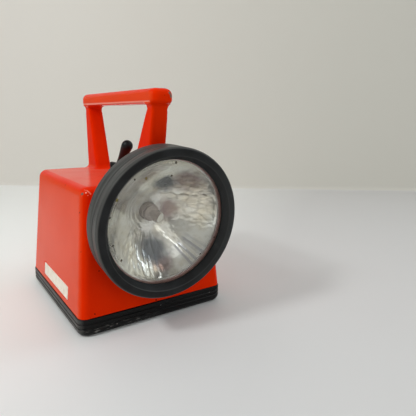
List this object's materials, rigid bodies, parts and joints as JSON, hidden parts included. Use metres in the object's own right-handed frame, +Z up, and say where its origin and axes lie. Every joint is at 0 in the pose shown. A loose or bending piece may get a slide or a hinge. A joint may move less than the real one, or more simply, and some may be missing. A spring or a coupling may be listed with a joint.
{
  "type": "hand lantern",
  "caption": "Rechargeable hand lantern: tapered plastic body with a bar handle on two legs, tilted round lamp head, toggle lever on top and a rubber base boot.",
  "frame": {"origin": "middle of the flat underside of the rubber boot, on the lantern's mirror plane", "axes": "+Z up, the lamp faces -Y, +X to the right as seen from the front"},
  "size_m": [0.1524, 0.2045, 0.2146],
  "materials": {
    "red_shell": "glossy moulded plastic, rubbed and chipped at the corners",
    "boot_rubber": "matt scuffed rubber",
    "ring_rubber": "matt rubber, greyed round its wall",
    "gasket_silicone": "pinkish silicone rubber, seen through the glass",
    "black_plastic": "satin black moulding",
    "clear_glass": "clear glass, lightly soiled at the rim",
    "bulb_glass": "clear thin glass",
    "bright_dish": "bright dish with hammered facets",
    "brass": "plain brass",
    "zinc_steel": "zinc plated",
    "battery_case": "grey battery case",
    "switch_resin": "brown moulded resin",
    "red_insulation": "red wire insulation",
    "black_insulation": "black wire insulation"
  },
  "bodies": {
    "lantern": {"body_shell": "red_shell", "base_boot": "boot_rubber", "base_plate": "black_plastic", "lamp_ring": "ring_rubber", "front_glass": "clear_glass", "glass_gasket": "gasket_silicone", "reflector": "bright_dish", "bulb_holder": "black_plastic", "bulb_cap": "brass", "bulb_glass": "bulb_glass", "lamp_terminal_minus": "brass", "lamp_terminal_plus": "brass", "base_screw_front_left": "zinc_steel", "base_screw_front_right": "zinc_steel", "base_screw_rear_right": "zinc_steel", "base_screw_rear_left": "zinc_steel", "charge_contact_minus": "brass", "charge_contact_plus": "brass", "charge_nut_minus": "zinc_steel", "charge_nut_plus": "zinc_steel", "battery_pad": "boot_rubber", "battery_front": "battery_case", "battery_rear": "battery_case", "battery_tab_front_plus": "brass", "battery_tab_rear_plus": "brass", "battery_link_plus": "brass", "battery_tab_front_minus": "brass", "battery_tab_rear_minus": "brass", "battery_link_minus": "brass", "battery_strap": "zinc_steel", "strap_screw_left": "zinc_steel", "strap_screw_right": "zinc_steel", "switch_bushing": "black_plastic", "switch_seal": "boot_rubber", "switch_nut": "zinc_steel", "switch_block": "switch_resin", "switch_terminal_front": "brass", "switch_terminal_rear": "brass", "switch_pin": "zinc_steel", "lead_supply": "red_insulation", "lead_lamp_plus": "red_insulation", "lead_lamp_minus": "black_insulation", "lead_charge_plus": "red_insulation", "lead_charge_minus": "black_insulation"},
    "lever": {"switch_lever": "black_plastic"}
  },
  "joints": [
    {"name": "lever_swing", "type": "hinge", "parent": "lantern", "child": "lever", "pos_m": [0, 0.0036, 0.1364], "axis": [-1, 0, 0], "range_deg": [0, 90]}
  ]
}
